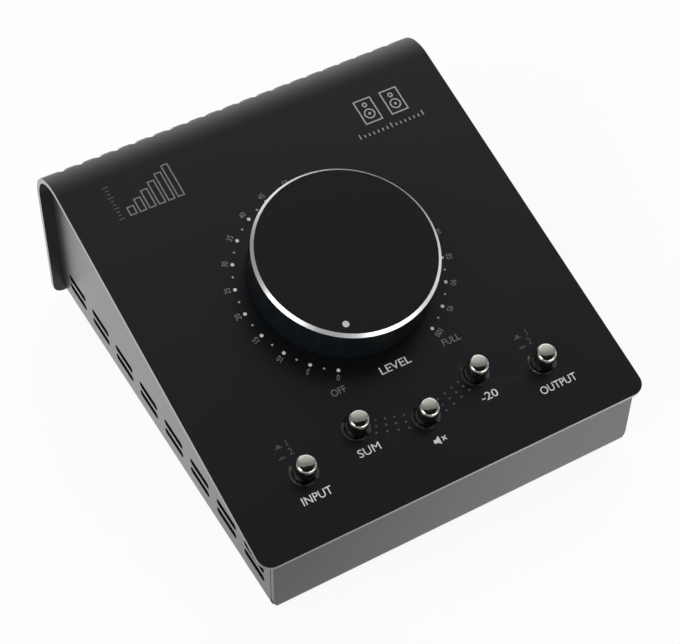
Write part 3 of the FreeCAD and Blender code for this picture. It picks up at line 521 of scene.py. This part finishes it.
def buttonRings(radius, top, bottom):
    # a straight side, a round that runs into the dome, and the dome up to its middle
    dome, edge, steps = button["dome"], button["edge"], button["steps"]
    ball = (radius ** 2 + dome ** 2) / (2 * dome)
    ballLevel = top - ball
    edgeLevel = ballLevel + math.sqrt((ball - edge) ** 2 - (radius - edge) ** 2)
    meeting = math.atan2(edgeLevel - ballLevel, radius - edge)
    rings = [(radius - button["footBreak"], bottom), (radius, bottom + button["footBreak"])]
    for step in range(steps + 1):
        turn = meeting * step / steps
        rings.append((radius - edge + edge * math.cos(turn), edgeLevel + edge * math.sin(turn)))
    for step in range(1, steps + 1):
        turn = meeting + (math.pi / 2 - meeting) * step / steps
        rings.append((ball * math.cos(turn) if step < steps else 0, ballLevel + ball * math.sin(turn)))
    return rings


def dressButtons():
    for name in buttonNames:
        low, high = panelBox(f"{name}_button")
        middle = (low + high) / 2
        rings = buttonRings((high.x - low.x) / 2, high.z - button["sunk"], low.z)
        cap = turnedPiece(f"{name}_cap", rings, button["segments"])
        applyPlace(cap, panelFrame @ Matrix.Translation((middle.x * mm, middle.y * mm, 0)))
        smoothByAngle(cap, button["smooth"])
        finishPiece(cap, f"{name}_push", looks["blackNickel"], [f"{name}_button"])


dressButtons()
print("buttons dressed")


ink = {
    "lift": 0.03,             # printed film stands this far off the coat
    "depth": 0.02,
    "dotSides": 20,
    "curveSteps": 4,          # of the letters' round strokes
    "capital": 3.1,           # height of the words
    "weight": 0.02,           # thickens the letters' strokes
    "narrow": 0.8,            # width of the numbers, as a share of the font's own
    "smallNarrow": 0.9,
}


def stationOf(distance):
    # turns a distance from the front edge into the panel frame's y
    return distance - knobStation


def printed(name, pieces, material):
    # joins flat shapes, gives them the film's thickness and lays them on the panel
    film = joinPieces(name, pieces)
    bpy.ops.object.mode_set(mode="EDIT")
    bpy.ops.mesh.select_all(action="SELECT")
    bpy.ops.mesh.extrude_region_move(TRANSFORM_OT_translate={"value": (0, 0, ink["depth"] * mm)})
    bpy.ops.mesh.select_all(action="SELECT")
    bpy.ops.mesh.normals_make_consistent(inside=False)
    bpy.ops.object.mode_set(mode="OBJECT")
    applyPlace(film, panelFrame @ Matrix.Translation((0, 0, ink["lift"] * mm)))
    finishPiece(film, "case", material)


def dot(x, y, radius):
    bpy.ops.object.select_all(action="DESELECT")
    bpy.ops.mesh.primitive_circle_add(vertices=ink["dotSides"], radius=radius * mm, fill_type="NGON",
                                      location=(x * mm, y * mm, 0))
    return newest("dot")


def bar(x, y, length, width, turn=0.0):
    # a stroke about its middle
    bpy.ops.object.select_all(action="DESELECT")
    bpy.ops.mesh.primitive_plane_add(size=1, location=(x * mm, y * mm, 0),
                                     rotation=(0, 0, math.radians(turn)))
    stroke = newest("stroke")
    stroke.scale = (length * mm, width * mm, 1)
    bpy.ops.object.transform_apply(location=False, rotation=False, scale=True)
    return stroke


def ring(x, y, radius, width):
    hoop = dot(x, y, radius)
    bpy.ops.object.mode_set(mode="EDIT")
    bpy.ops.mesh.select_all(action="SELECT")
    bpy.ops.mesh.inset(thickness=width * mm)
    bpy.ops.mesh.delete(type="FACE")
    bpy.ops.object.mode_set(mode="OBJECT")
    return hoop


def box(left, low, right, high, width):
    # an outlined box made of four strokes
    across, up = (left + right) / 2, (low + high) / 2
    return [bar(across, low, right - left + width, width), bar(across, high, right - left + width, width),
            bar(left, up, width, high - low - width), bar(right, up, width, high - low - width)]


def printedWord(name, text, material, x, y, height, width=None, turn=0.0, weight=0.0, narrow=1.0):
    # a word about its middle, fitted to a height and, where it is given, a width
    bpy.ops.object.select_all(action="DESELECT")
    bpy.ops.object.text_add(location=(0, 0, 0))
    word = bpy.context.object
    word.data.body = text
    word.data.offset = weight / height        # at size 1; the fit below brings it to millimetres
    word.data.extrude = ink["depth"] / 2 * mm
    word.data.resolution_u = ink["curveSteps"]
    bpy.ops.object.convert(target="MESH")
    word = newest(name)
    spots = [vertex.co for vertex in word.data.vertices]
    left, right = min(spot.x for spot in spots), max(spot.x for spot in spots)
    low, high = min(spot.y for spot in spots), max(spot.y for spot in spots)
    tall = height * mm / (high - low)
    wide = width * mm / (right - left) if width else tall * narrow
    place = (Matrix.Translation((x * mm, y * mm, (ink["lift"] + ink["depth"] / 2) * mm))
             @ Matrix.Rotation(turn, 4, "Z") @ Matrix.Diagonal((wide, tall, 1, 1))
             @ Matrix.Translation((-(left + right) / 2, -(low + high) / 2, 0)))
    applyPlace(word, panelFrame @ place)
    finishPiece(word, "case", material)


dial = {
    "dotOrbit": 39.65,
    "bigDot": 0.7,            # at each number
    "smallDot": 0.42,         # half way between the numbers
    "numberOrbit": 42.5,
    "numberHeight": 2.3,
    "zeroAngle": 240,
    "full": 100,
    "numberStep": 5,
}


def printDial():
    big, small = [], []
    marks = 2 * dial["full"] // dial["numberStep"]
    for mark in range(marks + 1):
        angle = math.radians(dial["zeroAngle"]) - sweepAngle * mark / marks
        x, y = dial["dotOrbit"] * math.cos(angle), dial["dotOrbit"] * math.sin(angle)
        if mark % 2:
            small.append(dot(x, y, dial["smallDot"]))
            continue
        big.append(dot(x, y, dial["bigDot"]))
        x, y = dial["numberOrbit"] * math.cos(angle), dial["numberOrbit"] * math.sin(angle)
        number = str(dial["full"] * mark // marks)
        printedWord(f"dial_number_{number}", number, looks["inkGrey"], x, y, dial["numberHeight"],
                    turn=angle - math.pi / 2, weight=ink["weight"], narrow=ink["narrow"])
    printed("dial_dots", big, looks["inkWhite"])
    printed("dial_half_dots", small, looks["inkPale"])


words = {                     # text, middle x, distance from the front edge, width
    "level": ("LEVEL", 0.0, 48.5, 12.6),
    "input": ("INPUT", -50.1, 16.6, 11.8),
    "sum": ("SUM", -25.1, 23.7, 8.8),
    "minus_20": ("-20", 25.2, 23.3, 6.8),
    "output": ("OUTPUT", 50.8, 16.2, 15.4),
}
smallWords = {                # text, middle x, distance from the front edge, height, ink
    "off": ("OFF", -23.8, 48.3, 2.7, "inkGrey"),
    "full": ("FULL", 23.9, 48.6, 2.7, "inkGrey"),
    "left_1": ("1", -50.3, 38.8, 2.6, "inkDim"),
    "left_2": ("2", -50.4, 35.4, 2.6, "inkDim"),
    "right_1": ("1", 51.0, 39.3, 2.6, "inkDim"),
    "right_2": ("2", 50.1, 35.7, 2.6, "inkDim"),
}


def printWords():
    for name, (text, x, distance, width) in words.items():
        weight = 0 if "M" in text else ink["weight"]      # this font's M can't be thickened
        printedWord(f"word_{name}", text, looks["inkWhite"], x, stationOf(distance), ink["capital"], width,
                    weight=weight)
    for name, (text, x, distance, height, inkName) in smallWords.items():
        printedWord(f"small_{name}", text, looks[inkName], x, stationOf(distance), height,
                    narrow=ink["smallNarrow"])


mute = {                      # crossed-out loudspeaker below the middle button
    "x": -0.25,
    "distance": 16.0,
    "magnetX": -1.9,
    "magnetLength": 1.0,
    "magnetHeight": 1.4,
    "hornX": -1.25,
    "hornSteps": 5,           # strokes that grow evenly to the horn's mouth
    "hornPitch": 0.3,
    "hornStroke": 0.32,
    "hornGrowth": 0.45,
    "crossX": 1.8,
    "crossLength": 2.2,
    "crossTurn": 45,
    "stroke": 0.45,
}
capSigns = {                  # a raised and a lowered cap, beside the first and the last button
    # x, distance from the front edge and how far the cap is down
    "spots": ((-53.7, 38.7, 0.0), (-54.4, 34.7, 0.6), (46.8, 39.0, 0.0), (46.5, 34.9, 0.6)),
    "width": 1.9,
    "base": -0.55,
    "baseShare": 1.5,
    "top": 0.15,
    "topShare": 0.6,
    "topHeight": 1.0,
    "stroke": 0.45,
}
bands = {                     # three rows of dots on both sides of the middle button
    # x and distance from the front edge of each row's two ends
    "start": ((17.4, 32.7), (18.3, 30.5), (19.5, 28.2)),
    "end": ((7.2, 30.0), (7.7, 27.4), (7.8, 24.8)),
    "dots": 4,
    "radius": 0.42,
}


def printMute():
    x, y, high = mute["x"], stationOf(mute["distance"]), mute["magnetHeight"]
    strokes = [bar(x + mute["magnetX"], y, mute["magnetLength"], high)]
    for step in range(mute["hornSteps"]):
        strokes.append(bar(x + mute["hornX"] + mute["hornPitch"] * step, y,
                           mute["hornStroke"], high + mute["hornGrowth"] * step))
    for turn in (mute["crossTurn"], -mute["crossTurn"]):
        strokes.append(bar(x + mute["crossX"], y, mute["crossLength"], mute["stroke"], turn))
    printed("mute_symbol", strokes, looks["inkWhite"])


def printCapSigns():
    strokes, width = [], capSigns["width"]
    for x, distance, down in capSigns["spots"]:
        base = stationOf(distance) + capSigns["base"]
        top = stationOf(distance) + capSigns["top"] - down
        strokes.append(bar(x, base, width * capSigns["baseShare"], capSigns["stroke"]))
        strokes.append(bar(x, top, width * capSigns["topShare"], capSigns["topHeight"]))
    printed("cap_symbols", strokes, looks["inkDim"])


def printBands():
    dots = []
    for (startX, startDistance), (endX, endDistance) in zip(bands["start"], bands["end"]):
        for step in range(bands["dots"]):
            share = step / (bands["dots"] - 1)
            x = startX * (1 - share) + endX * share
            distance = startDistance * (1 - share) + endDistance * share
            dots += [dot(side * x, stationOf(distance), bands["radius"]) for side in (-1, 1)]
    printed("dot_bands", dots, looks["inkDim"])


meter = {                     # a stepped level meter in outline, with a ruler beside it
    "left": -58.6,
    "distance": 143.6,
    "bars": 6,
    "pitch": 3.9,
    "barWidth": 2.5,
    "firstHeight": 3.5,
    "growth": 2.2,
    "stroke": 0.55,
    "tickX": -62.2,
    "ticks": 10,
    "tickPitch": 1.6,
    "tickStroke": 0.44,
    "shortTick": 1.4,
    "longTick": 2.4,
    "longEach": 3,
}
speakers = {                  # two loudspeakers in outline, with a ruler under them
    "x": (45.0, 56.6),
    "distance": 142.4,
    "width": 7.2,
    "height": 10.6,
    "wooferUp": 3.9,
    "wooferRadius": 2.3,
    "wooferDot": 0.6,
    "tweeterUp": 8.1,
    "tweeterRadius": 1.1,
    "stroke": 0.55,
    "rulerX": 50.2,
    "rulerDistance": 137.2,
    "marks": 15,
    "markPitch": 2.0,
    "markStroke": 0.44,
    "shortMark": 1.3,
    "longMark": 2.2,
    "longEach": 7,
}


def printMeter():
    base, stroke = stationOf(meter["distance"]), meter["stroke"]
    bars, ticks = [], []
    for step in range(meter["bars"]):
        left = meter["left"] + meter["pitch"] * step
        high = base + meter["firstHeight"] + meter["growth"] * step
        bars += box(left, base, left + meter["barWidth"], high, stroke)
    printed("meter_symbol", bars, looks["inkGrey"])
    for step in range(meter["ticks"]):
        length = meter["shortTick"] if step % meter["longEach"] else meter["longTick"]
        ticks.append(bar(meter["tickX"], base + meter["tickPitch"] * step, length, meter["tickStroke"]))
    printed("meter_ticks", ticks, looks["inkDim"])


def printSpeakers():
    base, stroke, half = stationOf(speakers["distance"]), speakers["stroke"], speakers["width"] / 2
    strokes = []
    for x in speakers["x"]:
        strokes += box(x - half, base, x + half, base + speakers["height"], stroke)
        strokes.append(ring(x, base + speakers["wooferUp"], speakers["wooferRadius"], stroke))
        strokes.append(ring(x, base + speakers["tweeterUp"], speakers["tweeterRadius"], stroke))
        strokes.append(dot(x, base + speakers["wooferUp"], speakers["wooferDot"]))
    ruler = stationOf(speakers["rulerDistance"])
    for mark in range(speakers["marks"]):
        x = speakers["rulerX"] + speakers["markPitch"] * (mark - (speakers["marks"] - 1) / 2)
        tall = speakers["shortMark"] if mark % speakers["longEach"] else speakers["longMark"]
        strokes.append(bar(x, ruler + tall / 2, speakers["markStroke"], tall))
    printed("speaker_symbol", strokes, looks["inkPale"])


printDial()
printWords()
printMute()
printCapSigns()
printBands()
printMeter()
printSpeakers()
print("panel printed")


switchParts = [f"{name}_{part}" for name in buttonNames for part in ("plunger", "switch")]
finishes = {
    "zinc": ["front_hooks", "tray_nuts", "panel_standoffs", "panel_screws",
             "pot_housing", "pot_washer", "pot_nut", "pot_shaft"],
    "nickel": ["jack_washers", "jack_nuts"],
    "silver": ["output_pins"],
    "blackScrew": ["rear_screws", "connector_screws"],
    "nylon": ["knob_hub", "ribbon_headers"] + switchParts,
    "socketBlack": [name for name in nodes if "_jack_" in name or "_xlr_" in name or "_insert_" in name],
    "boardGreen": ["panel_board", "rear_board"],
    "ribbonGrey": ["ribbon_cable"],
}
for look, names in finishes.items():
    for nodeName in names:
        nodes[nodeName].data.materials.clear()
        nodes[nodeName].data.materials.append(looks[look])
print("other solids finished")


studio = {
    "floorSize": 6.0,
    "floorDrop": 0.0002,      # the floor lies this far under the feet
    "floorTone": 0.93,
    "floorRoughness": 0.9,
    "floorGlow": 0.86,        # share of the floor's tone that is there without any lamp
    "glowTone": 1.055,
    "shadePatchSpot": (-0.25, -0.4, 0.0),      # painted shade: a dark patch on the floor in front, seen only in reflections
    "shadePatchInner": 0.22,
    "shadePatchOuter": 0.42,
    "shadePatchTone": 0.03,
    "skyHigh": 0.3,
    "stripGlow": 0.3,         # faint band round the horizon, and the height where it ends
    "stripEnd": 0.12,
    "darkSide": (-0.1, -0.98, 0.15),      # the dim half of the room, in front
    "darkStart": 0.17,
    "darkEnd": 0.2,
    "darkShare": 0.04,
    "frontLow": 0.24,         # heights between which the two front windows fade
    "frontHigh": 0.34,
    "keySpot": (-0.9, -0.7, 0.9),
    "keyTarget": (0, 0, 0.03),
    "keySize": 1.2,
    "keyPower": 5.5,
}
windows = {
    # side of the room, how nearly a view faces it where the light starts and where it is full, and glow
    "rear": ((0.38, 0.66, 0.65), 0.73, 0.9, 0.58),        # softbox over the rear
    "right": ((0.85, -0.45, 0.3), 0.88, 0.92, 0.3),
    "back": ((0.5, 0.87, 0.0), 0.58, 1.0, 0.85),          # low window behind
    "left": ((-0.84, -0.2, 0.43), 0.92, 0.965, 2.4),
    "front": ((0.35, -0.93, 0.1), 0.89, 0.95, 2.4),       # low window in front
    "wide": ((-0.4, -0.91, 0.1), 0.55, 0.95, 0.62),       # weaker light round it
}


def combined(tree, operation, first, second):
    node = tree.nodes.new("ShaderNodeMath")
    node.operation = operation
    tree.links.new(first, node.inputs[0])
    tree.links.new(second, node.inputs[1])
    return node.outputs[0]


def emission(tree, strength):
    glow = tree.nodes.new("ShaderNodeEmission")
    glow.inputs["Color"].default_value = white
    glow.inputs["Strength"].default_value = strength
    return glow.outputs["Emission"]


def mixedShader(tree, share, under, over):
    mix = tree.nodes.new("ShaderNodeMixShader")
    tree.links.new(share, mix.inputs["Fac"])
    tree.links.new(under, mix.inputs[1])
    tree.links.new(over, mix.inputs[2])
    return mix.outputs["Shader"]


def shadePatchShare(tree):
    # 1 on the dark patch of painted shade and 0 off it, with a soft edge
    away = tree.nodes.new("ShaderNodeVectorMath")
    away.operation = "DISTANCE"
    away.inputs[1].default_value = studio["shadePatchSpot"]
    tree.links.new(tree.nodes.new("ShaderNodeTexCoord").outputs["Object"], away.inputs[0])
    return rampBetween(tree, away.outputs["Value"], 1, 0, studio["shadePatchInner"], studio["shadePatchOuter"])


def buildFloor():
    bpy.ops.object.select_all(action="DESELECT")
    bpy.ops.mesh.primitive_plane_add(size=studio["floorSize"], location=(0, 0, -studio["floorDrop"]))
    floor = newest("studio_floor")
    material, tree, shader = newMaterial("floorPaper")
    tone = studio["floorTone"]
    shader.inputs["Base Color"].default_value = (tone, tone, tone, 1)
    shader.inputs["Roughness"].default_value = studio["floorRoughness"]
    shader.inputs["Specular IOR Level"].default_value = 0
    rays = tree.nodes.new("ShaderNodeLightPath").outputs
    seen = combined(tree, "MAXIMUM", rays["Is Camera Ray"], rays["Is Glossy Ray"])
    seen = combined(tree, "MAXIMUM", seen, rays["Is Transmission Ray"])
    glowing = rampBetween(tree, seen, 0, studio["floorGlow"], 0, 1)
    paper = mixedShader(tree, glowing, shader.outputs["BSDF"], emission(tree, studio["glowTone"]))
    # painted shade: a dark patch on the floor that only reflections see, where it darkens the near end of
    # the front wall
    shadedInReflection = combined(tree, "MULTIPLY", rays["Is Glossy Ray"], shadePatchShare(tree))
    surface = mixedShader(tree, shadedInReflection, paper, emission(tree, studio["shadePatchTone"]))
    tree.links.new(surface, tree.nodes["Material Output"].inputs["Surface"])
    floor.data.materials.append(material)


def towards(tree, direction, side, start, end, outside, inside):
    # a tone that changes as the view turns to one side of the room
    facing = tree.nodes.new("ShaderNodeVectorMath")
    facing.operation = "DOT_PRODUCT"
    facing.inputs[1].default_value = Vector(side).normalized()
    tree.links.new(direction, facing.inputs[0])
    return rampBetween(tree, facing.outputs["Value"], outside, inside, start, end)


def buildWorld():
    # a dim ceiling, darker in front, with a bright horizon, a softbox over the rear and windows
    world = bpy.data.worlds.new("studioWorld")
    bpy.context.scene.world = world
    world.use_nodes = True
    tree = world.node_tree
    direction = tree.nodes.new("ShaderNodeTexCoord").outputs["Generated"]
    upward = (0, 0, 1)
    light = towards(tree, direction, studio["darkSide"], studio["darkStart"], studio["darkEnd"],
                    studio["skyHigh"], studio["skyHigh"] * studio["darkShare"])
    strip = towards(tree, direction, upward, 0, studio["stripEnd"], studio["stripGlow"], 0)
    glows = {name: towards(tree, direction, side, start, end, 0, glow)
             for name, (side, start, end, glow) in windows.items()}
    belowTop = towards(tree, direction, upward, studio["frontLow"], studio["frontHigh"], 1, 0)
    front = combined(tree, "MULTIPLY", combined(tree, "ADD", glows["front"], glows["wide"]), belowTop)
    for glow in (strip, glows["rear"], glows["right"], glows["back"], glows["left"], front):
        light = combined(tree, "ADD", light, glow)
    background = tree.nodes["Background"]
    background.inputs["Color"].default_value = white
    tree.links.new(light, background.inputs["Strength"])


def buildKeyLamp():
    lamp = bpy.data.lights.new("keyLamp", "AREA")
    lamp.shape = "SQUARE"
    lamp.size = studio["keySize"]
    lamp.energy = studio["keyPower"]
    holder = bpy.data.objects.new("keyLamp", lamp)
    bpy.context.scene.collection.objects.link(holder)
    spot, target = Vector(studio["keySpot"]), Vector(studio["keyTarget"])
    holder.location = spot
    holder.rotation_euler = (target - spot).to_track_quat("-Z", "Y").to_euler()
    holder.visible_glossy = False


cameraPlace = {
    "location": (-242.47, -406.71, 582.5),
    "turn": (40.34, -0.67, -30.28),
    "lens": 101.57,
    "sensor": 36,
    "near": 0.01,
    "far": 20,
}


def buildCamera():
    view = bpy.data.cameras.new("camera")
    view.lens = cameraPlace["lens"]
    view.sensor_width = cameraPlace["sensor"]
    view.clip_start = cameraPlace["near"]
    view.clip_end = cameraPlace["far"]
    holder = bpy.data.objects.new("camera", view)
    bpy.context.scene.collection.objects.link(holder)
    holder.location = Vector(cameraPlace["location"]) * mm
    holder.rotation_euler = Euler([math.radians(angle) for angle in cameraPlace["turn"]], "XYZ")
    bpy.context.scene.camera = holder


buildFloor()
buildWorld()
buildKeyLamp()
buildCamera()
bpy.context.scene.view_settings.view_transform = "Standard"
print("studio ready")
